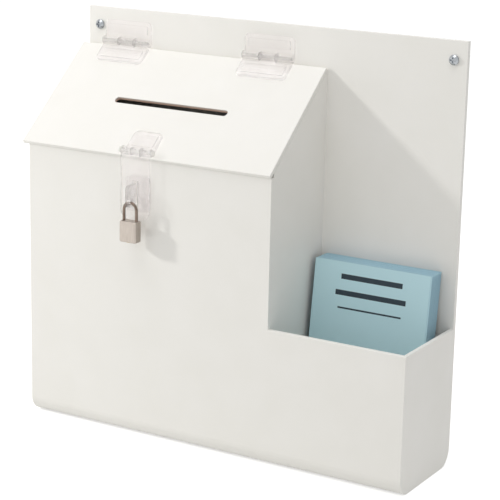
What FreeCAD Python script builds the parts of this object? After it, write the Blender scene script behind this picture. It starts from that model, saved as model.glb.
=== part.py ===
import FreeCAD, Part
import math
import os
import Sketcher

# Wall-mounted box with a sloped locking lid and a card pocket, in millimetres.
# Origin at the centre of the base, +X to the right seen from the front, +Y to the wall, +Z up.

DRIVING_SIZES = {
    # Bent sheet: back plate, bottom and front panel
    "width": 350,
    "depth": 89,
    "height": 340,
    "sheet": 4,
    "bend_radius": 14,
    "front_drop": 106,
    "pocket_height": 113.5,
    "pocket_width": 119,
    "panel": 3,
    "bond_gap": 0.2,
    "bond_film": 0.1,
    "edge_break": 0.5,
    # Lid
    "lid_slope": 40.5,
    "lid_thickness": 3,
    "lid_rise": 0.5,
    "lid_gap": 0.4,
    "lid_front_overhang": 1,
    "lid_left_overhang": 5,
    "lid_back_gap": 0.5,
    "slot_length": 108,
    "slot_width": 6,
    "slot_from_front": 53.5,
    # Hinges and hasp; the hasp hangs midway between the hinges
    "knuckle_gap": 0.3,
    "pin_fit": 0.05,
    "moulded_border": 3.5,
    "moulded_recess": 1.2,
    "moulded_edge": 0.4,
    "hinge_left_inset": 40.75,
    "hinge_right_inset": 52.75,
    "hinge_length": 46,
    "hinge_back_reach": 17.5,
    "hinge_lid_reach": 20,
    "hinge_plate": 2.6,
    "hinge_barrel": 3.5,
    "hinge_axis": 3.8,
    "hinge_pin": 1.1,
    "hinge_corner": 4.5,
    "hasp_width": 27,
    "hasp_forward": 3.5,
    "hasp_axis": 4,
    "hasp_barrel": 3.5,
    "hasp_pin": 1.1,
    "pin_head": 2.4,
    "pin_head_height": 2,
    "hasp_plate": 2.4,
    "hasp_plate_reach": 22.5,
    "hasp_corner": 5,
    "strap": 2.5,
    "strap_reach": 56,
    "strap_corner": 9,
    # Staple on the front panel
    "staple_drop": 28,
    "staple_base": 2,
    "staple_base_width": 22,
    "staple_base_length": 28,
    "staple_corner": 3,
    "fin": 3,
    "fin_length": 18,
    "fin_reach": 17.2,
    "fin_corner": 4,
    "fin_side_gap": 1,
    "fin_end_gap": 2.5,
    "fin_hole": 2.6,
    "fin_hole_rise": 4.6,
    # Padlock
    "padlock_forward": 12.2,
    "padlock_hang_gap": 0.4,
    "padlock_width": 16,
    "padlock_height": 17,
    "padlock_depth": 9,
    "padlock_corner": 2,
    "padlock_edge": 0.7,
    "shackle_wire": 1.2,
    "shackle_span": 12,
    "shackle_inside": 14.6,
    "shackle_heel": 12,
    "shackle_toe": 4.5,
    "plug": 3,
    "plug_depth": 9,
    "plug_proud": 0.4,
    "keyway_width": 1,
    "keyway_length": 4,
    "keyway_depth": 6,
    # Wall screws
    "screw_inset": 11,
    "screw_drop": 15,
    "screw_hole": 2.5,
    "screw_shoulder": 2.35,
    "screw_shoulder_proud": 0.6,
    "screw_shank": 2.1,
    "screw_length": 30,
    "screw_tip": 5,
    "screw_head": 4,
    "screw_head_height": 2.9,
    "screw_head_side": 1.3,
    "screw_head_top": 2.6,
    "screw_recess_length": 4.6,
    "screw_recess_width": 1.2,
    "screw_recess_depth": 1.5,
    # Stack of cards in the pocket
    "card_width": 101.6,
    "card_height": 155,
    "card_stack": 17.5,
    "card_lean": 7,
    "card_left_gap": 5,
    "card_gap": 0.3,
    "card_stray": 0.5,
}

# Sizes that follow from the driving sizes
DERIVED_SIZES = {
    "front_height": "=height - front_drop",
    "box_width": "=width - pocket_width",
    "staple_height": "=front_height - staple_drop",
}

CARD_BUNDLES = 5
SIDEWAYS_TURN = 2.4
UPWARD_TURN = 1.7
HINGE_KNUCKLES = 3
HASP_KNUCKLES = 3

doc = FreeCAD.newDocument("comment_box")
sheet = doc.addObject("Spreadsheet::Sheet", "size")
for row, (alias, value) in enumerate({**DRIVING_SIZES, **DERIVED_SIZES}.items(), start=1):
    sheet.set(f"A{row}", str(value))
    sheet.setAlias(f"A{row}", alias)
doc.recompute()

# Places that several pieces share, as expressions over the driving sizes
FRONT = "(-size.depth / 2)"
BACK = "(size.depth / 2)"
LEFT = "(-size.width / 2)"
RIGHT = "(size.width / 2)"
INNER_FRONT = "(-size.depth / 2 + size.sheet)"
INNER_BACK = "(size.depth / 2 - size.sheet)"
DIVIDER = "(-size.width / 2 + size.box_width)"
SLOPE_TAN = "tan(size.lid_slope * 1 deg)"
SLOPE_COS = "cos(size.lid_slope * 1 deg)"
LID_FOOT = "(size.front_height + size.lid_rise)"
LEFT_HINGE_X = "(-size.width / 2 + size.hinge_left_inset)"
RIGHT_HINGE_X = "(-size.width / 2 + size.box_width - size.hinge_right_inset)"
HARDWARE_X = f"(({LEFT_HINGE_X} + {RIGHT_HINGE_X}) / 2)"
HINGE_Y = "(size.depth / 2 - size.sheet - size.hinge_axis)"
HINGE_Z = (f"({LID_FOOT} + (size.depth - size.sheet - size.hinge_axis) * {SLOPE_TAN}"
           f" + (size.lid_thickness + size.hinge_axis) / {SLOPE_COS})")
HASP_Y = "(-size.depth / 2 - size.hasp_forward)"
HASP_Z = (f"({LID_FOOT} - size.hasp_forward * {SLOPE_TAN}"
          f" + (size.lid_thickness + size.hasp_axis) / {SLOPE_COS})")
FIN_HOLE_Z = "(size.staple_height - size.fin_length / 2 + size.fin_hole_rise)"
SHACKLE_TOP = f"({FIN_HOLE_Z} - size.fin_hole + size.shackle_wire + size.padlock_hang_gap)"
PADLOCK_Y = "(-size.depth / 2 - size.padlock_forward)"
PADLOCK_TOP = f"({SHACKLE_TOP} - size.shackle_inside)"
PADLOCK_BOTTOM = f"({PADLOCK_TOP} - size.padlock_height)"

X_AXIS = FreeCAD.Vector(1, 0, 0)
Y_AXIS = FreeCAD.Vector(0, 1, 0)
Z_AXIS = FreeCAD.Vector(0, 0, 1)
OVERCUT = 1
TOUCH = 0.01


def number(expression):
    """The value of an expression over the driving sizes."""
    value = sheet.evalExpression(expression)
    return float(getattr(value, "Value", value))


def new_body(name):
    body = doc.addObject("PartDesign::Body", name)
    body.Label = name
    return body


def place(piece, x="0", y="0", z="0", turn="0"):
    """Set a piece at a point, turned about the X axis by an angle in degrees."""
    start = FreeCAD.Vector(number(x), number(y), number(z))
    piece.Placement = FreeCAD.Placement(start, FreeCAD.Rotation(X_AXIS, number(turn)))
    for letter, expression in zip("xyz", (x, y, z)):
        piece.setExpression(f"Placement.Base.{letter}", expression)
    if number(turn):
        piece.setExpression("Placement.Rotation.Angle", turn)
    return piece


def new_sketch(body, plane, lift="0"):
    """An empty sketch on one of the body's own planes, raised along its normal."""
    sketch = body.newObject("Sketcher::SketchObject", "Sketch")
    support = next(item for item in body.Origin.OriginFeatures if item.Role == plane)
    sketch.AttachmentSupport = [(support, "")]
    sketch.MapMode = "FlatFace"
    sketch.setExpression("AttachmentOffset.Base.z", lift)
    return sketch


def fix_point(sketch, element, point, across, up):
    """Hold a point of the sketch at two expressions."""
    for kind, expression in (("DistanceX", across), ("DistanceY", up)):
        rule = Sketcher.Constraint(kind, -1, 1, element, point, number(expression))
        index = sketch.addConstraint(rule)
        sketch.setExpression(f"Constraints[{index}]", expression)


def fix_radius(sketch, element, radius):
    index = sketch.addConstraint(Sketcher.Constraint("Radius", element, number(radius)))
    sketch.setExpression(f"Constraints[{index}]", radius)


def draw_outline(sketch, corners):
    """A closed outline of straight sides through corners given as pairs of expressions."""
    points = [FreeCAD.Vector(number(across), number(up), 0) for across, up in corners]
    first = sketch.GeometryCount
    for start, end in zip(points, points[1:] + points[:1]):
        sketch.addGeometry(Part.LineSegment(start, end), False)
    count = len(points)
    for step in range(count):
        following = first + (step + 1) % count
        sketch.addConstraint(Sketcher.Constraint("Coincident", first + step, 2, following, 1))
    for step, (across, up) in enumerate(corners):
        fix_point(sketch, first + step, 1, across, up)


def draw_rectangle(sketch, left, right, low, high):
    draw_outline(sketch, [(left, low), (right, low), (right, high), (left, high)])


def draw_circle(sketch, across, up, radius):
    centre = FreeCAD.Vector(number(across), number(up), 0)
    element = sketch.addGeometry(Part.Circle(centre, Z_AXIS, number(radius)), False)
    fix_radius(sketch, element, radius)
    fix_point(sketch, element, 3, across, up)


def draw_slot(sketch, across, up, length, width):
    """A slot along the sketch's X axis with fully round ends."""
    radius = f"({width}) / 2"
    half_run = number(f"({length}) / 2 - {radius}")
    middle = FreeCAD.Vector(number(across), number(up), 0)
    rise = FreeCAD.Vector(0, number(radius), 0)
    ends = [middle + X_AXIS * half_run, middle - X_AXIS * half_run]
    circles = [Part.Circle(end, Z_AXIS, number(radius)) for end in ends]
    quarter = math.pi / 2
    right = sketch.addGeometry(Part.ArcOfCircle(circles[0], -quarter, quarter), False)
    top = sketch.addGeometry(Part.LineSegment(ends[0] + rise, ends[1] + rise), False)
    left = sketch.addGeometry(Part.ArcOfCircle(circles[1], quarter, 3 * quarter), False)
    bottom = sketch.addGeometry(Part.LineSegment(ends[1] - rise, ends[0] - rise), False)
    for one, other in ((right, top), (top, left), (left, bottom), (bottom, right)):
        sketch.addConstraint(Sketcher.Constraint("Tangent", one, 2, other, 1))
    fix_point(sketch, right, 3, f"{across} + ({length}) / 2 - {radius}", up)
    fix_point(sketch, left, 3, f"{across} - ({length}) / 2 + {radius}", up)
    fix_radius(sketch, right, radius)


def pad(body, sketch, length, downward=False):
    feature = body.newObject("PartDesign::Pad", "Pad")
    feature.Profile = sketch
    feature.Reversed = downward
    feature.setExpression("Length", length)
    doc.recompute()
    return feature


def pocket(body, sketch, depth):
    """Cut the sketch's outline out of the body, against the sketch's normal."""
    before = body.Shape.Volume
    feature = body.newObject("PartDesign::Pocket", "Pocket")
    feature.Profile = sketch
    feature.setExpression("Length", depth)
    doc.recompute()
    if body.Shape.Volume > before - TOUCH:
        raise ValueError(f"a pocket of {body.Label} removes nothing")
    return feature


def edge_names(shape, axis, **place_at):
    """Names of the straight edges along an axis whose middle has the given coordinates."""
    names = []
    for index, edge in enumerate(shape.Edges, start=1):
        if not isinstance(edge.Curve, Part.Line):
            continue
        middle = edge.valueAt((edge.FirstParameter + edge.LastParameter) / 2)
        along = abs(edge.Curve.Direction.dot(axis)) > 1 - TOUCH
        there = all(abs(getattr(middle, key) - value) < TOUCH for key, value in place_at.items())
        if along and there:
            names.append(f"Edge{index}")
    return names


def round_edges(body, radius, names):
    if not names:
        raise ValueError(f"no edge of {body.Label} to round")
    base = body.Tip
    feature = body.newObject("PartDesign::Fillet", "Fillet")
    feature.Base = (base, names)
    feature.setExpression("Radius", radius)
    doc.recompute()
    return feature


def bevel_edges(body, setback, names):
    if not names:
        raise ValueError(f"no edge of {body.Label} to bevel")
    base = body.Tip
    feature = body.newObject("PartDesign::Chamfer", "Chamfer")
    feature.Base = (base, names)
    feature.setExpression("Size", setback)
    doc.recompute()
    return feature


def make_bent_shell():
    """Back plate, bottom and front panel in one bent sheet, with the low pocket front cut out."""
    body = new_body("bent_shell")
    profile = new_sketch(body, "YZ_Plane", LEFT)
    draw_outline(profile, [
        (FRONT, "size.front_height"),
        (FRONT, "0"),
        (BACK, "0"),
        (BACK, "size.height"),
        (INNER_BACK, "size.height"),
        (INNER_BACK, "size.sheet"),
        (INNER_FRONT, "size.sheet"),
        (INNER_FRONT, "size.front_height"),
    ])
    pad(body, profile, "size.width")
    outer = [name for side in (FRONT, BACK)
             for name in edge_names(body.Shape, X_AXIS, y=number(side), z=0)]
    round_edges(body, "size.bend_radius", outer)
    inner = [name for side in (INNER_FRONT, INNER_BACK)
             for name in edge_names(body.Shape, X_AXIS, y=number(side), z=number("size.sheet"))]
    round_edges(body, "size.bend_radius - size.sheet", inner)

    notch = new_sketch(body, "XZ_Plane", f"size.depth / 2 + {OVERCUT}")
    draw_rectangle(notch, DIVIDER, f"{RIGHT} + {OVERCUT}",
                   "size.pocket_height", f"size.front_height + {OVERCUT}")
    pocket(body, notch, f"size.sheet + 2 * {OVERCUT}")

    holes = new_sketch(body, "XZ_Plane", f"size.sheet - size.depth / 2 + {OVERCUT}")
    for side in (f"{LEFT} + size.screw_inset", f"{RIGHT} - size.screw_inset"):
        draw_circle(holes, side, "size.height - size.screw_drop", "size.screw_hole")
    pocket(body, holes, f"size.sheet + 2 * {OVERCUT}")

    shape = body.Shape
    top_edges = edge_names(shape, X_AXIS, y=number(INNER_BACK), z=number("size.height"))
    top_edges += edge_names(shape, X_AXIS, y=number(BACK), z=number("size.height"))
    top_edges += edge_names(shape, X_AXIS, y=number(FRONT), z=number("size.pocket_height"))
    top_edges += edge_names(shape, X_AXIS, y=number(INNER_FRONT), z=number("size.pocket_height"))
    round_edges(body, "size.edge_break", top_edges)
    return body


def make_panel(name, left_face, front_top, back_top):
    """Upright panel bonded between the front and the back plate, standing on the bottom."""
    body = new_body(name)
    profile = new_sketch(body, "YZ_Plane", left_face)
    draw_outline(profile, [
        (INNER_FRONT, "size.sheet"),
        (INNER_BACK, "size.sheet"),
        (INNER_BACK, back_top),
        (INNER_FRONT, front_top),
    ])
    pad(body, profile, "size.panel")
    corners = [corner for side in (INNER_FRONT, INNER_BACK)
               for corner in edge_names(body.Shape, X_AXIS, y=number(side), z=number("size.sheet"))]
    round_edges(body, "size.bend_radius - size.sheet + size.bond_gap", corners)
    return body


def make_lid():
    """Flat lid with a paper slot, drawn flat and laid on the slope."""
    body = new_body("lid")
    outline = new_sketch(body, "XY_Plane")
    far_edge = f"(size.depth - size.sheet - size.lid_back_gap) / {SLOPE_COS}"
    left_edge = f"{LEFT} - size.lid_left_overhang"
    draw_rectangle(outline, left_edge, DIVIDER, "-size.lid_front_overhang", far_edge)
    pad(body, outline, "size.lid_thickness")
    slot = new_sketch(body, "XY_Plane", f"size.lid_thickness + {OVERCUT}")
    draw_slot(slot, f"({left_edge} + {DIVIDER}) / 2", "size.slot_from_front",
              "size.slot_length", "size.slot_width")
    pocket(body, slot, f"size.lid_thickness + 2 * {OVERCUT}")
    shape = body.Shape
    top = number("size.lid_thickness")
    rim = edge_names(shape, X_AXIS, y=number("-size.lid_front_overhang"), z=top)
    rim += edge_names(shape, Y_AXIS, x=number(left_edge), z=top)
    rim += edge_names(shape, Y_AXIS, x=number(DIVIDER), z=top)
    rim += edge_names(shape, X_AXIS, y=number(far_edge), z=top)
    round_edges(body, "size.edge_break", rim)
    return place(body, y=FRONT, z=LID_FOOT, turn="size.lid_slope")


def make_leaf(name, length, reach, plate, axis, barrel, pin, corner, knuckles, own, side, outer, film="0"):
    """Moulded leaf whose barrel turns on the X axis; own lists the knuckles that it keeps.

    The plate lies below the barrel, runs out to one side and has two round corners. Its outer
    face is the one at the given level, and has a bevelled rim. The film is the glue under it.
    """
    body = new_body(name)
    outline = new_sketch(body, "XY_Plane", f"{film} - {axis}")
    draw_rectangle(outline, f"-{length} / 2", f"{length} / 2", "0", f"{side} * {reach}")
    pad(body, outline, f"{plate} - {film}")
    far_corners = edge_names(body.Shape, Z_AXIS, y=number(f"{side} * {reach}"))
    round_edges(body, corner, far_corners)
    level = number(outer)
    rim = [f"Edge{index}" for index, edge in enumerate(body.Shape.Edges, start=1)
           if edge.BoundBox.ZLength < TOUCH and abs(edge.BoundBox.ZMin - level) < TOUCH
           and max(abs(edge.BoundBox.YMin), abs(edge.BoundBox.YMax)) > TOUCH]
    bevel_edges(body, "size.moulded_edge", rim)

    ring = new_sketch(body, "YZ_Plane", f"-{length} / 2")
    draw_circle(ring, "0", "0", barrel)
    pad(body, ring, length)

    gaps = new_sketch(body, "XY_Plane", f"{barrel} + {OVERCUT}")
    clear = f"({barrel} + size.knuckle_gap)"
    for knuckle in range(knuckles):
        if knuckle in own:
            continue
        start = f"(-{length} / 2 + {knuckle} * {length} / {knuckles} - size.knuckle_gap / 2)"
        end = f"({start} + {length} / {knuckles} + size.knuckle_gap)"
        draw_rectangle(gaps, start, end, f"-{clear}", clear)
    pocket(body, gaps, f"{barrel} + {axis} + 2 * {OVERCUT}")

    bore = new_sketch(body, "YZ_Plane", f"{length} / 2 + {OVERCUT}")
    draw_circle(bore, "0", "0", f"{pin} + size.pin_fit")
    pocket(body, bore, f"{length} + 2 * {OVERCUT}")
    return body


def mould_recess(body, length, reach, plate, axis, barrel, side):
    """Shallow field in the leaf's outer face that leaves a raised border."""
    field = new_sketch(body, "XY_Plane", f"{plate} - {axis}")
    edges = [f"{side} * ({barrel} + size.moulded_border)",
             f"{side} * ({reach} - size.moulded_border)"]
    draw_rectangle(field, f"size.moulded_border - {length} / 2", f"{length} / 2 - size.moulded_border",
                   *sorted(edges, key=number))
    pocket(body, field, "size.moulded_recess")


def make_hinge(name, centre):
    """One three-knuckle hinge: a leaf on the back plate, a leaf on the lid and a pin."""
    odd = range(1, HINGE_KNUCKLES, 2)
    even = range(0, HINGE_KNUCKLES, 2)
    leaves = []
    for leaf, own, side, turn in (("back", even, 1, "90"), ("lid", odd, -1, "size.lid_slope")):
        sizes = ("size.hinge_length", f"size.hinge_{leaf}_reach", "size.hinge_plate", "size.hinge_axis",
                 "size.hinge_barrel")
        body = make_leaf(f"{name}_{leaf}_leaf", *sizes, "size.hinge_pin", "size.hinge_corner",
                         HINGE_KNUCKLES, own, side, "size.hinge_plate - size.hinge_axis", "size.bond_film")
        mould_recess(body, *sizes, side)
        leaves.append(place(body, centre, HINGE_Y, HINGE_Z, turn))
    pin = new_body(f"{name}_pin")
    section = new_sketch(pin, "YZ_Plane", "-size.hinge_length / 2")
    draw_circle(section, "0", "0", "size.hinge_pin")
    pad(pin, section, "size.hinge_length")
    return leaves + [place(pin, centre, HINGE_Y, HINGE_Z)]


def make_hasp():
    """Hasp plate on the lid, slotted strap over the front panel and the riveted pin."""
    outer = (0, HASP_KNUCKLES - 1)
    plate_sizes = ("size.hasp_width", "size.hasp_plate_reach", "size.hasp_plate", "size.hasp_axis",
                   "size.hasp_barrel")
    plate = make_leaf("hasp_plate", *plate_sizes, "size.hasp_pin", "size.hasp_corner",
                      HASP_KNUCKLES, (1,), 1, "size.hasp_plate - size.hasp_axis", "size.bond_film")
    mould_recess(plate, *plate_sizes, 1)
    place(plate, HARDWARE_X, HASP_Y, HASP_Z, "size.lid_slope")

    strap = make_leaf("hasp_strap", "size.hasp_width", "size.strap_reach", "size.strap",
                      "size.hasp_barrel", "size.hasp_barrel", "size.hasp_pin", "size.strap_corner",
                      HASP_KNUCKLES, outer, 1, "-size.hasp_barrel")
    slot = new_sketch(strap, "XY_Plane", f"size.strap - size.hasp_barrel + {OVERCUT}")
    middle = f"({HASP_Z} - size.staple_height)"
    half_width = "(size.fin / 2 + size.fin_side_gap)"
    half_length = "(size.fin_length / 2 + size.fin_end_gap)"
    draw_rectangle(slot, f"-{half_width}", half_width,
                   f"{middle} - {half_length}", f"{middle} + {half_length}")
    pocket(strap, slot, f"size.strap + 2 * {OVERCUT}")
    place(strap, HARDWARE_X, HASP_Y, HASP_Z, "-90")

    pin = new_body("hasp_pin")
    shank = new_sketch(pin, "YZ_Plane", "-size.hasp_width / 2")
    draw_circle(shank, "0", "0", "size.hasp_pin")
    pad(pin, shank, "size.hasp_width")
    head_start = "size.hasp_width / 2 + size.knuckle_gap"
    for start, downward in ((head_start, False), (f"-({head_start})", True)):
        head = new_sketch(pin, "YZ_Plane", start)
        draw_circle(head, "0", "0", "size.pin_head")
        pad(pin, head, "size.pin_head_height", downward)
        neck = new_sketch(pin, "YZ_Plane", start)
        draw_circle(neck, "0", "0", "size.hasp_pin")
        pad(pin, neck, "size.knuckle_gap", not downward)
    place(pin, HARDWARE_X, HASP_Y, HASP_Z)
    return [plate, strap, pin]


def make_staple():
    """Base plate on the front panel with an upright fin and a hole for the padlock."""
    body = new_body("staple")
    base = new_sketch(body, "XZ_Plane", "size.depth / 2 + size.bond_film")
    low = "(size.staple_height - size.staple_base_length / 2)"
    high = "(size.staple_height + size.staple_base_length / 2)"
    draw_rectangle(base, "-size.staple_base_width / 2", "size.staple_base_width / 2", low, high)
    pad(body, base, "size.staple_base - size.bond_film")
    corners = [corner for level in (low, high)
               for corner in edge_names(body.Shape, Y_AXIS, z=number(level))]
    round_edges(body, "size.staple_corner", corners)

    fin = new_sketch(body, "YZ_Plane", "-size.fin / 2")
    tip = f"{FRONT} - size.fin_reach"
    fin_low = "size.staple_height - size.fin_length / 2"
    fin_high = "size.staple_height + size.fin_length / 2"
    draw_rectangle(fin, tip, f"{FRONT} - size.staple_base / 2", fin_low, fin_high)
    pad(body, fin, "size.fin")
    round_edges(body, "size.fin_corner", edge_names(body.Shape, X_AXIS, y=number(tip)))

    hole = new_sketch(body, "YZ_Plane", f"size.fin / 2 + {OVERCUT}")
    draw_circle(hole, PADLOCK_Y, FIN_HOLE_Z, "size.fin_hole")
    pocket(body, hole, f"size.fin + 2 * {OVERCUT}")
    return place(body, HARDWARE_X)


def make_padlock():
    """Shackle hung in the staple, padlock body under it and the key plug in its underside."""
    half_span = "size.shackle_span / 2"
    bend_level = f"-{half_span}"
    shackle = new_body("padlock_shackle")
    bend = new_sketch(shackle, "XY_Plane", bend_level)
    draw_circle(bend, half_span, "0", "size.shackle_wire")
    arch = shackle.newObject("PartDesign::Revolution", "Revolution")
    arch.Profile = bend
    arch.ReferenceAxis = (bend, ["V_Axis"])
    arch.Angle = 180
    arch.Reversed = True
    doc.recompute()
    for side, depth in ((f"-{half_span}", "size.shackle_heel"), (half_span, "size.shackle_toe")):
        leg = new_sketch(shackle, "XY_Plane", bend_level)
        draw_circle(leg, side, "0", "size.shackle_wire")
        pad(shackle, leg, f"size.shackle_inside - {half_span} + {depth}", downward=True)
    place(shackle, HARDWARE_X, PADLOCK_Y, SHACKLE_TOP)

    body = new_body("padlock_body")
    section = new_sketch(body, "XY_Plane", "-size.padlock_height")
    draw_rectangle(section, "-size.padlock_width / 2", "size.padlock_width / 2",
                   "-size.padlock_depth / 2", "size.padlock_depth / 2")
    pad(body, section, "size.padlock_height")
    round_edges(body, "size.padlock_corner", edge_names(body.Shape, Z_AXIS))
    rims = [f"Edge{index}" for index, edge in enumerate(body.Shape.Edges, start=1)
            if edge.BoundBox.ZLength < TOUCH]
    bevel_edges(body, "size.padlock_edge", rims)
    for side, depth in ((f"-{half_span}", "size.shackle_heel"), (half_span, "size.shackle_toe")):
        hole = new_sketch(body, "XY_Plane", str(OVERCUT))
        draw_circle(hole, side, "0", "size.shackle_wire + size.pin_fit")
        pocket(body, hole, f"{depth} + {OVERCUT} + size.pin_fit")
    plug_top = "(size.plug_depth - size.padlock_height)"
    bore = new_sketch(body, "XY_Plane", plug_top)
    draw_circle(bore, "0", "0", "size.plug + size.pin_fit")
    pocket(body, bore, f"size.plug_depth + {OVERCUT}")
    place(body, HARDWARE_X, PADLOCK_Y, PADLOCK_TOP)

    plug = new_body("padlock_key_plug")
    barrel = new_sketch(plug, "XY_Plane", "-size.plug_proud")
    draw_circle(barrel, "0", "0", "size.plug")
    pad(plug, barrel, "size.plug_depth + size.plug_proud - size.pin_fit")
    keyway = new_sketch(plug, "XY_Plane", "size.keyway_depth - size.plug_proud")
    draw_rectangle(keyway, "-size.keyway_width / 2", "size.keyway_width / 2",
                   "-size.keyway_length / 2", "size.keyway_length / 2")
    pocket(plug, keyway, f"size.keyway_depth + {OVERCUT}")
    place(plug, HARDWARE_X, PADLOCK_Y, PADLOCK_BOTTOM)
    return [shackle, body, plug]


def make_screw(name, across):
    """Pan-head wall screw with a cross recess, its shank standing out behind the back plate."""
    body = new_body(name)
    profile = new_sketch(body, "XZ_Plane")
    shoulder_end = "-(size.sheet + size.screw_shoulder_proud)"
    draw_outline(profile, [
        ("0", "size.screw_head_height"),
        ("0", "-size.screw_length"),
        ("size.screw_shank", "size.screw_tip - size.screw_length"),
        ("size.screw_shank", shoulder_end),
        ("size.screw_shoulder", shoulder_end),
        ("size.screw_shoulder", "0"),
        ("size.screw_head", "0"),
        ("size.screw_head", "size.screw_head_side"),
        ("size.screw_head_top", "size.screw_head_height"),
    ])
    turned = body.newObject("PartDesign::Revolution", "Revolution")
    turned.Profile = profile
    turned.ReferenceAxis = (profile, ["V_Axis"])
    turned.Angle = 360
    doc.recompute()
    long_half = "size.screw_recess_length / 2"
    thin_half = "size.screw_recess_width / 2"
    for wide, tall in ((long_half, thin_half), (thin_half, long_half)):
        recess = new_sketch(body, "XY_Plane", f"size.screw_head_height + {OVERCUT}")
        draw_rectangle(recess, f"-{wide}", wide, f"-{tall}", tall)
        pocket(body, recess, f"size.screw_recess_depth + {OVERCUT}")
    return place(body, across, INNER_BACK, "size.height - size.screw_drop", "90")


def make_group(name, pieces):
    group = doc.addObject("Part::Compound", name)
    group.Label = name
    group.Links = pieces
    return group


def make_cards():
    """Stack of cards that stands on the pocket's bottom and leans on the back plate.

    Each bundle stands on the bottom by itself, so the leaning stack keeps a level top. The bundles
    stray sideways and upward by the sine of a turn per bundle, so that no two lie quite alike.
    """
    bundles = []
    for step in range(CARD_BUNDLES):
        bundle = doc.addObject("Part::Box", f"card_bundle_{step + 1}")
        bundle.setExpression("Length", "size.card_width")
        bundle.setExpression("Width", f"size.card_stack / {CARD_BUNDLES}")
        bundle.setExpression("Height", "size.card_height")
        sideways = math.sin(SIDEWAYS_TURN * step)
        upward = abs(math.sin(UPWARD_TURN * step))
        forward = f"size.card_stack * {step} / {CARD_BUNDLES}"
        bundle.setExpression("Placement.Base.x", f"size.card_stray * {sideways:.3f}")
        bundle.setExpression("Placement.Base.y", f"-size.card_stack * {step + 1} / {CARD_BUNDLES}")
        bundle.setExpression("Placement.Base.z", f"size.card_stray * {upward:.3f}"
                             f" - {forward} * tan(size.card_lean * 1 deg)")
        bundles.append(bundle)
    cards = make_group("comment_cards", bundles)
    rise = "(size.card_height + size.card_stray)"
    foot = f"{INNER_BACK} - size.card_gap - {rise} * sin(size.card_lean * 1 deg)"
    return place(cards, f"{DIVIDER} + size.card_left_gap", foot, "size.sheet + size.card_gap",
                 "-size.card_lean")


slope_front = f"{LID_FOOT} - size.lid_gap + size.sheet * {SLOPE_TAN}"
slope_back = f"{LID_FOOT} - size.lid_gap + (size.depth - size.sheet) * {SLOPE_TAN}"
pieces = [
    make_bent_shell(),
    make_panel("left_side_panel", LEFT, slope_front, slope_back),
    make_panel("divider_panel", f"{DIVIDER} - size.panel", slope_front, slope_back),
    make_panel("pocket_side_panel", f"{RIGHT} - size.panel", "size.pocket_height", "size.pocket_height"),
    make_lid(),
]
pieces += make_hinge("left_hinge", LEFT_HINGE_X)
pieces += make_hinge("right_hinge", RIGHT_HINGE_X)
pieces += make_hasp()
pieces.append(make_staple())
pieces += make_padlock()
screws = [
    make_screw("wall_screw_left", f"{LEFT} + size.screw_inset"),
    make_screw("wall_screw_right", f"{RIGHT} - size.screw_inset"),
]
pieces.append(make_group("wall_screws", screws))
pieces.append(make_cards())
doc.recompute()

for item in doc.Objects:
    if "Invalid" in item.State or "Error" in item.State:
        raise ValueError(f"{item.Label} failed: {item.State}")
for piece in pieces:
    if piece.Shape.isNull() or not piece.Shape.isValid():
        raise ValueError(f"{piece.Label} has no valid shape")

os.makedirs("parts", exist_ok=True)
for piece in pieces:
    piece.Shape.exportStep(f"parts/{piece.Label}.step")
    solids = len(piece.Shape.Solids)
    print(f"{piece.Label}: {solids} solid(s), {piece.Shape.Volume / 1000:.2f} cm3")
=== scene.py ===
import math

import bmesh
import bpy
from mathutils import Matrix, Vector


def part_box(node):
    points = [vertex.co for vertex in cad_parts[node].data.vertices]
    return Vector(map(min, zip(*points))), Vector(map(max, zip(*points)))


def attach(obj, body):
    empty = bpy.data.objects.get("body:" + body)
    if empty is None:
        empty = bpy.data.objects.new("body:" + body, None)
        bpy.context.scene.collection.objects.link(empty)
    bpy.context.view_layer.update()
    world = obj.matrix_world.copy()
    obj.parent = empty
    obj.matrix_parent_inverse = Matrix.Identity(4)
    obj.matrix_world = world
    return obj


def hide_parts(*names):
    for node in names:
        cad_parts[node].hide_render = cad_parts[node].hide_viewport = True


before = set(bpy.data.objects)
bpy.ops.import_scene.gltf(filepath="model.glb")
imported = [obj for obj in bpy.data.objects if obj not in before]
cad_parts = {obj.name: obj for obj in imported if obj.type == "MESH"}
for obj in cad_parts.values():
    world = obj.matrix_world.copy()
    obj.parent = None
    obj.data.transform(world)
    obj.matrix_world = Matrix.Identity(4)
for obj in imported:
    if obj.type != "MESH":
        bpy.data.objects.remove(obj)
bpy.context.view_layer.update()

# Bent shell: back plate, bottom and front panel in one piece.
# Cast white acrylic sheet, sawn, polished and heat-bent over a rod along its two lower edges.
# Long waves in the sheet bend its reflections, and handling leaves a thin uneven haze on it.
MM = 0.001
SHEET_CLEAN = "#f4f2ee"
SHEET_HAZY = "#eeece6"
SHEET_HAZE = 35 * MM
SHEET_WAVE = 90 * MM
SHEET_WAVE_DEPTH = 0.3 * MM
SHEET_IOR = 1.49


def linear(hex_colour):
    """A colour read off as sRGB hex, as the linear values that the shaders take."""
    channels = [int(hex_colour[place:place + 2], 16) / 255 for place in (1, 3, 5)]
    return [c / 12.92 if c <= 0.04045 else ((c + 0.055) / 1.055) ** 2.4 for c in channels] + [1.0]


def add_node(tree, kind, settings=None, **inputs):
    """Add a shader node; each input is a value, or another node's socket to link from.

    An input is named by its label with underscores, or by i and its number.
    """
    node = tree.nodes.new(kind)
    for name, value in (settings or {}).items():
        setattr(node, name, value)
    for name, value in inputs.items():
        numbered = name[0] == "i" and name[1:].isdigit()
        socket = node.inputs[int(name[1:]) if numbered else name.replace("_", " ")]
        if isinstance(value, bpy.types.NodeSocket):
            tree.links.new(value, socket)
        else:
            socket.default_value = value
    return node


def new_material(name):
    """An empty material, with its node tree and the coordinates that ride with the piece."""
    material = bpy.data.materials.new(name)
    material.use_nodes = True
    tree = material.node_tree
    tree.nodes.clear()
    return material, tree, add_node(tree, "ShaderNodeTexCoord").outputs["Object"]


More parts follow.
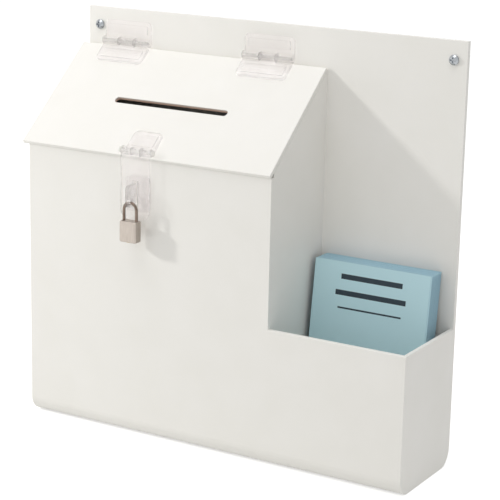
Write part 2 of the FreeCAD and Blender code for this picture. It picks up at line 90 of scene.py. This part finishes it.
def dress(node_names, material):
    """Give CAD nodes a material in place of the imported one."""
    for name in node_names:
        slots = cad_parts[name].data.materials
        slots.clear()
        slots.append(material)


acrylic, tree, place = new_material("cast_white_acrylic")
haze = add_node(tree, "ShaderNodeTexNoise", Vector=place, Scale=1 / SHEET_HAZE, Detail=4.0)
tone = add_node(tree, "ShaderNodeMix", {"data_type": "RGBA", "name": "sheet_tone"},
                Factor=haze.outputs["Fac"], i6=linear(SHEET_CLEAN), i7=linear(SHEET_HAZY))
gloss = add_node(tree, "ShaderNodeMapRange", Value=haze.outputs["Fac"], To_Min=0.3, To_Max=0.38)
wave = add_node(tree, "ShaderNodeTexNoise", Vector=place, Scale=1 / SHEET_WAVE, Detail=1.0)
ripple = add_node(tree, "ShaderNodeBump", Height=wave.outputs["Fac"], Strength=0.15,
                  Distance=SHEET_WAVE_DEPTH)
surface = add_node(tree, "ShaderNodeBsdfPrincipled", {"name": "sheet_surface"},
                   Base_Color=tone.outputs[2], Roughness=gloss.outputs["Result"],
                   IOR=SHEET_IOR, Normal=ripple.outputs["Normal"])
add_node(tree, "ShaderNodeOutputMaterial", Surface=surface.outputs["BSDF"])
dress(["bent_shell"], acrylic)

# Left side panel, divider and pocket side panel.
# The same cast white acrylic, sawn to shape and bonded between the front and the back plate.
# The solvent bond is clear and leaves no bead.
dress(["left_side_panel", "divider_panel", "pocket_side_panel"], acrylic)

# Lid.
# The same cast white acrylic with a routed paper slot, loose on its two hinges.
# The slot's wall is painted a warm tone that deepens towards the underside: painted light and
# shade, standing in for light through the acrylic and the dark inside of the box.
SLOT_PAINTED_WARM_LIGHT = "#f1c8ae"
LID_SLOPE = math.radians(40.5)
LID_OVERHANG = 1 * MM
LID_SHEET = 3 * MM
SLOT_LENGTH = 108 * MM
SLOT_WIDTH = 6 * MM
SLOT_FROM_FRONT = 53.5 * MM
# In half sizes of the slot: past its ends and sides, but short of the lid's two faces.
SLOT_REACH = (("X", 1.1), ("Y", 1.3), ("Z", 0.98))
lid_low, lid_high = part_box("lid")
shell_low, shell_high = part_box("bent_shell")
up_lid = Vector((0, math.cos(LID_SLOPE), math.sin(LID_SLOPE)))
out_of_lid = Vector((0, -math.sin(LID_SLOPE), math.cos(LID_SLOPE)))
lid_foot = Vector(((lid_low[0] + lid_high[0]) / 2, shell_low[1],
                   lid_low[2] + LID_OVERHANG * math.sin(LID_SLOPE)))
slot_middle = lid_foot + up_lid * SLOT_FROM_FRONT + out_of_lid * LID_SHEET / 2
slot_half = Vector((SLOT_LENGTH, SLOT_WIDTH, LID_SHEET)) / 2

routed = acrylic.copy()
routed.name = "routed_white_acrylic"
tree = routed.node_tree
place = add_node(tree, "ShaderNodeTexCoord").outputs["Object"]
in_slot = add_node(tree, "ShaderNodeMapping", {"vector_type": "TEXTURE"}, Vector=place,
                   Location=slot_middle, Rotation=(LID_SLOPE, 0, 0), Scale=slot_half)
reach = add_node(tree, "ShaderNodeSeparateXYZ", Vector=in_slot.outputs["Vector"])
# Painted light and shade: the slot's wall takes a warm tint that grows towards the lid's underside.
painted_slot_light = add_node(tree, "ShaderNodeMapRange", Value=reach.outputs["Z"], From_Min=1.0,
                From_Max=-1.0).outputs["Result"]
for axis, limit in SLOT_REACH:
    near = add_node(tree, "ShaderNodeMath", {"operation": "COMPARE"}, i0=reach.outputs[axis],
                    i1=0.0, i2=limit)
    painted_slot_light = add_node(tree, "ShaderNodeMath", {"operation": "MULTIPLY"}, i0=painted_slot_light,
                    i1=near.outputs["Value"]).outputs["Value"]
tone = add_node(tree, "ShaderNodeMix", {"data_type": "RGBA"}, Factor=painted_slot_light,
                i6=tree.nodes["sheet_tone"].outputs[2], i7=linear(SLOT_PAINTED_WARM_LIGHT))
tree.links.new(tone.outputs[2], tree.nodes["sheet_surface"].inputs["Base Color"])
dress(["lid"], routed)

# Hinge leaves, hasp plate, strap and staple.
# Clear injection-moulded plastic, glued to the lid, the back plate and the front panel.
# What lies behind shows through, the rims catch the light, and flow marks ripple the faces.
CLEAR_BODY = "#fdfdfe"
CLEAR_TINT = "#fcfbfb"
CLEAR_IOR = 1.49
FLOW_MARK = 4 * MM
FLOW_DEPTH = 0.15 * MM
# Leaves this thin come out too dark as full refraction, so plain see-through takes these shares
# of what is seen and of the lamps' light.
CLEAR_SHARE = 0.58
SHADOW_SHARE = 0.8
clear, tree, place = new_material("clear_moulded_plastic")
flow = add_node(tree, "ShaderNodeTexNoise", Vector=place, Scale=1 / FLOW_MARK, Detail=2.0)
polish = add_node(tree, "ShaderNodeMapRange", Value=flow.outputs["Fac"], To_Min=0.02, To_Max=0.1)
skin = add_node(tree, "ShaderNodeBump", Height=flow.outputs["Fac"], Strength=0.06,
                Distance=FLOW_DEPTH)
body = add_node(tree, "ShaderNodeBsdfPrincipled", Base_Color=linear(CLEAR_BODY),
                Roughness=polish.outputs["Result"], IOR=CLEAR_IOR, Transmission_Weight=1.0,
                Normal=skin.outputs["Normal"])
see_through = add_node(tree, "ShaderNodeBsdfTransparent", Color=linear(CLEAR_TINT))
ray = add_node(tree, "ShaderNodeLightPath")
share = add_node(tree, "ShaderNodeMath", {"operation": "MULTIPLY_ADD"},
                 i0=ray.outputs["Is Shadow Ray"], i1=SHADOW_SHARE - CLEAR_SHARE, i2=CLEAR_SHARE)
surface = add_node(tree, "ShaderNodeMixShader", i0=share.outputs["Value"],
                   i1=body.outputs["BSDF"], i2=see_through.outputs["BSDF"])
add_node(tree, "ShaderNodeOutputMaterial", Surface=surface.outputs["Shader"])
dress(["left_hinge_back_leaf", "right_hinge_back_leaf", "left_hinge_lid_leaf",
       "right_hinge_lid_leaf", "hasp_plate", "hasp_strap", "staple"], clear)

# Hinge pins and hasp pin.
# Natural nylon rod, pushed through the knuckles; the hasp's pin is headed at both ends.
# A rod this thin is translucent, and drawing it leaves fine streaks along it.
NYLON_PALE = "#f6f6f3"
NYLON_DULL = "#eaeae6"
NYLON_TINT = "#f8f8f7"
NYLON_IOR = 1.53
NYLON_SEE_THROUGH = 0.85
STREAK_LENGTH = 15 * MM
STREAK_WIDTH = 0.4 * MM
nylon, tree, place = new_material("drawn_natural_nylon")
drawn = add_node(tree, "ShaderNodeMapping", Vector=place,
                 Scale=(1 / STREAK_LENGTH, 1 / STREAK_WIDTH, 1 / STREAK_WIDTH))
streak = add_node(tree, "ShaderNodeTexNoise", Vector=drawn.outputs["Vector"], Scale=1.0, Detail=2.0)
tone = add_node(tree, "ShaderNodeMix", {"data_type": "RGBA"}, Factor=streak.outputs["Fac"],
                i6=linear(NYLON_PALE), i7=linear(NYLON_DULL))
gloss = add_node(tree, "ShaderNodeMapRange", Value=streak.outputs["Fac"], To_Min=0.32, To_Max=0.5)
body = add_node(tree, "ShaderNodeBsdfPrincipled", Base_Color=tone.outputs[2],
                Roughness=gloss.outputs["Result"], IOR=NYLON_IOR)
see_through = add_node(tree, "ShaderNodeBsdfTransparent", Color=linear(NYLON_TINT))
surface = add_node(tree, "ShaderNodeMixShader", i0=NYLON_SEE_THROUGH, i1=body.outputs["BSDF"],
                   i2=see_through.outputs["BSDF"])
add_node(tree, "ShaderNodeOutputMaterial", Surface=surface.outputs["Shader"])
dress(["left_hinge_pin", "right_hinge_pin", "hasp_pin"], nylon)

# Wall screws.
# Steel pan-head screws with bright chrome plate, driven through the back plate into the wall.
# The driver's grip and dust dull the mirror here and there.
CHROME_BRIGHT = "#bcc0c4"
CHROME_DUSTY = "#969a9f"
SCREW_DUST = 2 * MM
chrome, tree, place = new_material("bright_chrome_plate")
dust = add_node(tree, "ShaderNodeTexNoise", Vector=place, Scale=1 / SCREW_DUST, Detail=3.0)
tone = add_node(tree, "ShaderNodeMix", {"data_type": "RGBA"}, Factor=dust.outputs["Fac"],
                i6=linear(CHROME_BRIGHT), i7=linear(CHROME_DUSTY))
gloss = add_node(tree, "ShaderNodeMapRange", Value=dust.outputs["Fac"], To_Min=0.08, To_Max=0.24)
surface = add_node(tree, "ShaderNodeBsdfPrincipled", Base_Color=tone.outputs[2], Metallic=1.0,
                   Roughness=gloss.outputs["Result"])
add_node(tree, "ShaderNodeOutputMaterial", Surface=surface.outputs["BSDF"])
dress(["wall_screws"], chrome)

# Padlock shackle.
# Hardened steel wire, bent to a bow and chrome plated; it hangs in the staple's hole.
# Its colour is painted dark brown, a painted reflection of a dark studio round it, and smears vary
# its mirror.
SHACKLE_PAINTED_REFLECTION = "#8f8178"
SHACKLE_PAINTED_DARK_REFLECTION = "#5a4a40"
SHACKLE_SMEAR = 3 * MM
dark_reflection_chrome, tree, place = new_material("chrome_plate_painted_dark_reflection")
smear = add_node(tree, "ShaderNodeTexNoise", Vector=place, Scale=1 / SHACKLE_SMEAR, Detail=3.0)
# Painted reflection: both tones are darkened to stand for a dark surround mirrored in the chrome.
tone = add_node(tree, "ShaderNodeMix", {"data_type": "RGBA"}, Factor=smear.outputs["Fac"],
                i6=linear(SHACKLE_PAINTED_REFLECTION), i7=linear(SHACKLE_PAINTED_DARK_REFLECTION))
gloss = add_node(tree, "ShaderNodeMapRange", Value=smear.outputs["Fac"], To_Min=0.06, To_Max=0.2)
surface = add_node(tree, "ShaderNodeBsdfPrincipled", Base_Color=tone.outputs[2], Metallic=1.0,
                   Roughness=gloss.outputs["Result"])
add_node(tree, "ShaderNodeOutputMaterial", Surface=surface.outputs["BSDF"])
dress(["padlock_shackle"], dark_reflection_chrome)

# Padlock body.
# Satin nickel plate over a brass block, brushed up and down before plating.
# The brush marks stretch along the body and break its reflection into fine upright lines.
NICKEL_PALE = "#cbc2ba"
NICKEL_DULL = "#a0968d"
BRUSH_WIDTH = 0.3 * MM
BRUSH_LENGTH = 8 * MM
BRUSH_DEPTH = 0.02 * MM
nickel, tree, place = new_material("satin_nickel_plate")
stretched = add_node(tree, "ShaderNodeMapping", Vector=place,
                     Scale=(1 / BRUSH_WIDTH, 1 / BRUSH_WIDTH, 1 / BRUSH_LENGTH))
brush = add_node(tree, "ShaderNodeTexNoise", Vector=stretched.outputs["Vector"], Scale=1.0,
                 Detail=2.0)
tone = add_node(tree, "ShaderNodeMix", {"data_type": "RGBA"}, Factor=brush.outputs["Fac"],
                i6=linear(NICKEL_PALE), i7=linear(NICKEL_DULL))
gloss = add_node(tree, "ShaderNodeMapRange", Value=brush.outputs["Fac"], To_Min=0.3, To_Max=0.48)
grooves = add_node(tree, "ShaderNodeBump", Height=brush.outputs["Fac"], Strength=0.3,
                   Distance=BRUSH_DEPTH)
surface = add_node(tree, "ShaderNodeBsdfPrincipled", Base_Color=tone.outputs[2], Metallic=1.0,
                   Roughness=gloss.outputs["Result"], Normal=grooves.outputs["Normal"])
add_node(tree, "ShaderNodeOutputMaterial", Surface=surface.outputs["BSDF"])
dress(["padlock_body"], nickel)

# Padlock key plug.
# Plain brass, turned to fit the bore in the body's underside and slotted for the key.
# The turning tool leaves fine rings round its axis.
BRASS_BRIGHT = "#d8bb77"
BRASS_DULL = "#b8974f"
TOOL_RING = 0.25 * MM
plug_low, plug_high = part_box("padlock_key_plug")
plug_axis = [(plug_low[0] + plug_high[0]) / 2, (plug_low[1] + plug_high[1]) / 2, plug_low[2]]
brass, tree, place = new_material("turned_brass")
from_axis = add_node(tree, "ShaderNodeVectorMath", {"operation": "SUBTRACT"}, i0=place,
                     i1=plug_axis)
flat = add_node(tree, "ShaderNodeVectorMath", {"operation": "MULTIPLY"},
                i0=from_axis.outputs["Vector"], i1=(1, 1, 0))
radius = add_node(tree, "ShaderNodeVectorMath", {"operation": "LENGTH"}, i0=flat.outputs["Vector"])
rings = add_node(tree, "ShaderNodeTexNoise", {"noise_dimensions": "1D"},
                 W=radius.outputs["Value"], Scale=1 / TOOL_RING, Detail=1.0)
tone = add_node(tree, "ShaderNodeMix", {"data_type": "RGBA"}, Factor=rings.outputs["Fac"],
                i6=linear(BRASS_BRIGHT), i7=linear(BRASS_DULL))
gloss = add_node(tree, "ShaderNodeMapRange", Value=rings.outputs["Fac"], To_Min=0.2, To_Max=0.42)
surface = add_node(tree, "ShaderNodeBsdfPrincipled", Base_Color=tone.outputs[2], Metallic=1.0,
                   Roughness=gloss.outputs["Result"])
add_node(tree, "ShaderNodeOutputMaterial", Surface=surface.outputs["BSDF"])
dress(["padlock_key_plug"], brass)

# Stack of comment cards, loose in the pocket.
# Light blue card, guillotined and knocked up by hand, so each card strays a little from the next.
# The front is printed with a plain heading and writing lines. The cut edges are painted darker than
# the face, a painted shade of the gaps between the cards, in stripes whose tone also varies at
# random from batch to batch.
CARD_WIDTH = 101.6 * MM
CARD_HEIGHT = 155 * MM
CARD_CORNER = 0.6 * MM
CARDS = 50
STACK = 17.5 * MM
LEAN = math.radians(7)
STRAY = 0.5 * MM
SIDEWAYS_TURN = 2.4
UPWARD_TURN = 1.7
CARD_GAP_SHARE = 0.12
card_low, card_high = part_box("comment_cards")
card_pitch = STACK / CARDS
across = (card_low[0] + card_high[0]) / 2
back_foot = Vector((across, card_high[1] - (CARD_HEIGHT + STRAY) * math.sin(LEAN), card_low[2]))
up_card = Vector((0, math.sin(LEAN), math.cos(LEAN)))
forward_on_floor = Vector((0, -1 / math.cos(LEAN), 0))
out_of_stack = Vector((0, -math.cos(LEAN), math.sin(LEAN)))

bpy.ops.object.select_all(action="DESELECT")
bpy.ops.mesh.primitive_cube_add(size=1)
card_stack = bpy.context.object
card_stack.name = "card_stack"
bpy.ops.object.mode_set(mode="EDIT")
bpy.ops.transform.resize(value=(CARD_WIDTH, card_pitch * (1 - CARD_GAP_SHARE), CARD_HEIGHT))
bpy.ops.mesh.select_all(action="DESELECT")
bpy.ops.mesh.select_mode(type="EDGE")
card_mesh = bmesh.from_edit_mesh(card_stack.data)
for edge in card_mesh.edges:
    run = edge.verts[0].co - edge.verts[1].co
    edge.select_set(abs(run.x) < MM and abs(run.z) < MM)
bmesh.update_edit_mesh(card_stack.data)
bpy.ops.mesh.bevel(offset=CARD_CORNER, segments=2)
bpy.ops.object.mode_set(mode="OBJECT")
sheets = [card_stack]
for count in range(1, CARDS):
    sheet = card_stack.copy()
    sheet.data = card_stack.data.copy()
    bpy.context.collection.objects.link(sheet)
    sheets.append(sheet)
for count, sheet in enumerate(sheets):
    sideways = Vector((STRAY * math.sin(SIDEWAYS_TURN * count), 0, 0))
    upward = up_card * STRAY * abs(math.sin(UPWARD_TURN * count))
    foot = back_foot + forward_on_floor * card_pitch * count + sideways + upward
    sheet.location = foot + out_of_stack * card_pitch / 2 + up_card * CARD_HEIGHT / 2
    sheet.rotation_euler = (-LEAN, 0, 0)
    sheet.select_set(True)
bpy.context.view_layer.objects.active = card_stack
bpy.ops.object.join()
bpy.ops.object.transform_apply(location=True, rotation=True, scale=True)

CARD_FACE = "#c6e8f0"
CARD_EDGE_PAINTED_SHADE = "#6c98b6"
CARD_EDGE_PALE = "#bcd8e4"
CARD_INK = "#2b3a44"
CARD_FIBRE = 0.8 * MM
CARD_FIBRE_DEPTH = 0.05 * MM
CARD_STRIPE = 2.2 * MM
FRONT_FACING = 0.9
# Each bar of print: how far below the stack's top, how wide and how high, in mm.
HEADING = [(12, 54, 4.2), (25, 62, 4.2), (37, 56, 1.4)]
WRITING_LINES = [(drop, 84, 0.6) for drop in (74, 84, 94, 104, 114, 124, 134)]
card, tree, place = new_material("light_blue_card")
fibre = add_node(tree, "ShaderNodeTexNoise", Vector=place, Scale=1 / CARD_FIBRE, Detail=3.0)
tooth = add_node(tree, "ShaderNodeBump", Height=fibre.outputs["Fac"], Strength=0.1,
                 Distance=CARD_FIBRE_DEPTH)
through = add_node(tree, "ShaderNodeVectorMath", {"operation": "DOT_PRODUCT"}, i0=place,
                   i1=out_of_stack)
# Painted shade: the cut edges darken in stripes through the stack, mixed with a random tone from
# batch to batch.
stripes = add_node(tree, "ShaderNodeTexNoise", {"noise_dimensions": "1D"},
                 W=through.outputs["Value"], Scale=1 / CARD_STRIPE, Detail=2.0)
edge_shade_and_batch = add_node(tree, "ShaderNodeMix", {"data_type": "RGBA"}, Factor=stripes.outputs["Fac"],
                    i6=linear(CARD_EDGE_PAINTED_SHADE), i7=linear(CARD_EDGE_PALE))
normal = add_node(tree, "ShaderNodeNewGeometry").outputs["Normal"]
facing = add_node(tree, "ShaderNodeVectorMath", {"operation": "DOT_PRODUCT"}, i0=normal,
                  i1=out_of_stack)
is_front = add_node(tree, "ShaderNodeMath", {"operation": "GREATER_THAN"},
                    i0=facing.outputs["Value"], i1=FRONT_FACING)
paint = add_node(tree, "ShaderNodeMix", {"data_type": "RGBA"}, Factor=is_front.outputs["Value"],
                 i6=edge_shade_and_batch.outputs[2], i7=linear(CARD_FACE))
on_card = add_node(tree, "ShaderNodeSeparateXYZ", Vector=place)
for drop, width, height in HEADING + WRITING_LINES:
    inside = is_front.outputs["Value"]
    bar_level = card_high[2] - drop * MM
    for axis, centre, span in (("X", across, width * MM), ("Z", bar_level, height * MM)):
        near = add_node(tree, "ShaderNodeMath", {"operation": "COMPARE"},
                        i0=on_card.outputs[axis], i1=centre, i2=span / 2)
        inside = add_node(tree, "ShaderNodeMath", {"operation": "MULTIPLY"}, i0=inside,
                          i1=near.outputs["Value"]).outputs["Value"]
    paint = add_node(tree, "ShaderNodeMix", {"data_type": "RGBA"}, Factor=inside,
                     i6=paint.outputs[2], i7=linear(CARD_INK))
gloss = add_node(tree, "ShaderNodeMapRange", Value=fibre.outputs["Fac"], To_Min=0.62, To_Max=0.78)
surface = add_node(tree, "ShaderNodeBsdfPrincipled", Base_Color=paint.outputs[2],
                   Roughness=gloss.outputs["Result"], Normal=tooth.outputs["Normal"])
add_node(tree, "ShaderNodeOutputMaterial", Surface=surface.outputs["BSDF"])
card_stack.data.materials.clear()
card_stack.data.materials.append(card)
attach(card_stack, "cards")
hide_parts("comment_cards")

# Floor and room.
# White paper sweep under the box and a pale grey room. Both look white where they are seen,
# straight on, in metal or through clear plastic, and the sweep keeps the box's soft shadow.
PAPER = "#e6e6e4"
PAPER_GLOW = 0.6
FLOOR_SIZE = 8
FLOOR_CLEARANCE = 0.1 * MM
ROOM_GREY = (0.59, 0.59, 0.59, 1)
BACKDROP_WHITE = (1, 1, 1, 1)


def seen_rays(tree):
    """A factor that is 1 for the rays by which a surface is seen, and 0 for its light on others."""
    ray = add_node(tree, "ShaderNodeLightPath")
    mirrored = add_node(tree, "ShaderNodeMath", {"operation": "ADD"},
                        i0=ray.outputs["Is Camera Ray"], i1=ray.outputs["Is Glossy Ray"])
    seen = add_node(tree, "ShaderNodeMath", {"operation": "MAXIMUM"},
                    i0=mirrored.outputs["Value"], i1=ray.outputs["Is Transmission Ray"])
    return seen.outputs["Value"]


bpy.ops.mesh.primitive_plane_add(size=FLOOR_SIZE, location=(0, 0, -FLOOR_CLEARANCE))
floor = bpy.context.object
floor.name = "floor"
sweep, tree, place = new_material("white_paper_sweep")
paper = add_node(tree, "ShaderNodeBsdfDiffuse", Color=linear(PAPER))
glow = add_node(tree, "ShaderNodeEmission", Color=BACKDROP_WHITE, Strength=PAPER_GLOW)
lit_paper = add_node(tree, "ShaderNodeAddShader", i0=paper.outputs["BSDF"],
                     i1=glow.outputs["Emission"])
surface = add_node(tree, "ShaderNodeMixShader", i0=seen_rays(tree), i1=paper.outputs["BSDF"],
                   i2=lit_paper.outputs["Shader"])
add_node(tree, "ShaderNodeOutputMaterial", Surface=surface.outputs["Shader"])
floor.data.materials.append(sweep)

world = bpy.data.worlds.new("pale_room")
bpy.context.scene.world = world
world.use_nodes = True
tree = world.node_tree
tree.nodes.clear()
room = add_node(tree, "ShaderNodeBackground", Color=ROOM_GREY)
backdrop = add_node(tree, "ShaderNodeBackground", Color=BACKDROP_WHITE)
surface = add_node(tree, "ShaderNodeMixShader", i0=seen_rays(tree),
                   i1=room.outputs["Background"], i2=backdrop.outputs["Background"])
add_node(tree, "ShaderNodeOutputWorld", Surface=surface.outputs["Shader"])

# Lamps and camera.
# A small lamp at the left throws the shadows of lid and padlock; a large one above softens them.
# The camera stands right of the box and a little above it, with a long lens and a slight roll.
# Each lamp: name, place in m, width in m, power in W, colour.
LAMPS = [
    ("key", (-0.9, -0.53, 0.6), 0.09, 4.05, (1.0, 0.99, 0.97)),
    ("overhead", (0.0, -0.5, 1.9), 1.4, 9.4, (1.0, 1.0, 1.0)),
]
LAMP_AIM = Vector((0, 0, 0.2))
for name, spot, size, power, colour in LAMPS:
    lamp = bpy.data.lights.new(name, "AREA")
    lamp.shape = "DISK"
    lamp.size = size
    lamp.energy = power
    lamp.color = colour
    lamp_object = bpy.data.objects.new(name, lamp)
    bpy.context.collection.objects.link(lamp_object)
    turn = (LAMP_AIM - Vector(spot)).to_track_quat("-Z", "Y").to_matrix()
    lamp_object.matrix_world = Matrix.Translation(spot) @ turn.to_4x4()

CAMERA_TARGET = Vector((7.2, 8.53, 159.3)) * MM
CAMERA_DISTANCE = 1409.2 * MM
CAMERA_AZIMUTH = math.radians(30.52)
CAMERA_ELEVATION = math.radians(14.54)
CAMERA_ROLL = math.radians(1.30)
CAMERA_LENS = 125.3
CAMERA_SENSOR = 36
backward = Vector((
    math.sin(CAMERA_AZIMUTH) * math.cos(CAMERA_ELEVATION),
    -math.cos(CAMERA_AZIMUTH) * math.cos(CAMERA_ELEVATION),
    math.sin(CAMERA_ELEVATION)))
level = Vector((0, 0, 1)).cross(backward).normalized()
upright = backward.cross(level)
right = level * math.cos(CAMERA_ROLL) + upright * math.sin(CAMERA_ROLL)
top = upright * math.cos(CAMERA_ROLL) - level * math.sin(CAMERA_ROLL)
camera = bpy.data.cameras.new("camera")
camera.lens = CAMERA_LENS
camera.sensor_width = CAMERA_SENSOR
camera_object = bpy.data.objects.new("camera", camera)
bpy.context.collection.objects.link(camera_object)
stand = Matrix.Translation(CAMERA_TARGET + backward * CAMERA_DISTANCE)
turn = Matrix((right, top, backward)).transposed()
camera_object.matrix_world = stand @ turn.to_4x4()
bpy.context.scene.camera = camera_object
bpy.context.scene.view_settings.view_transform = "Standard"
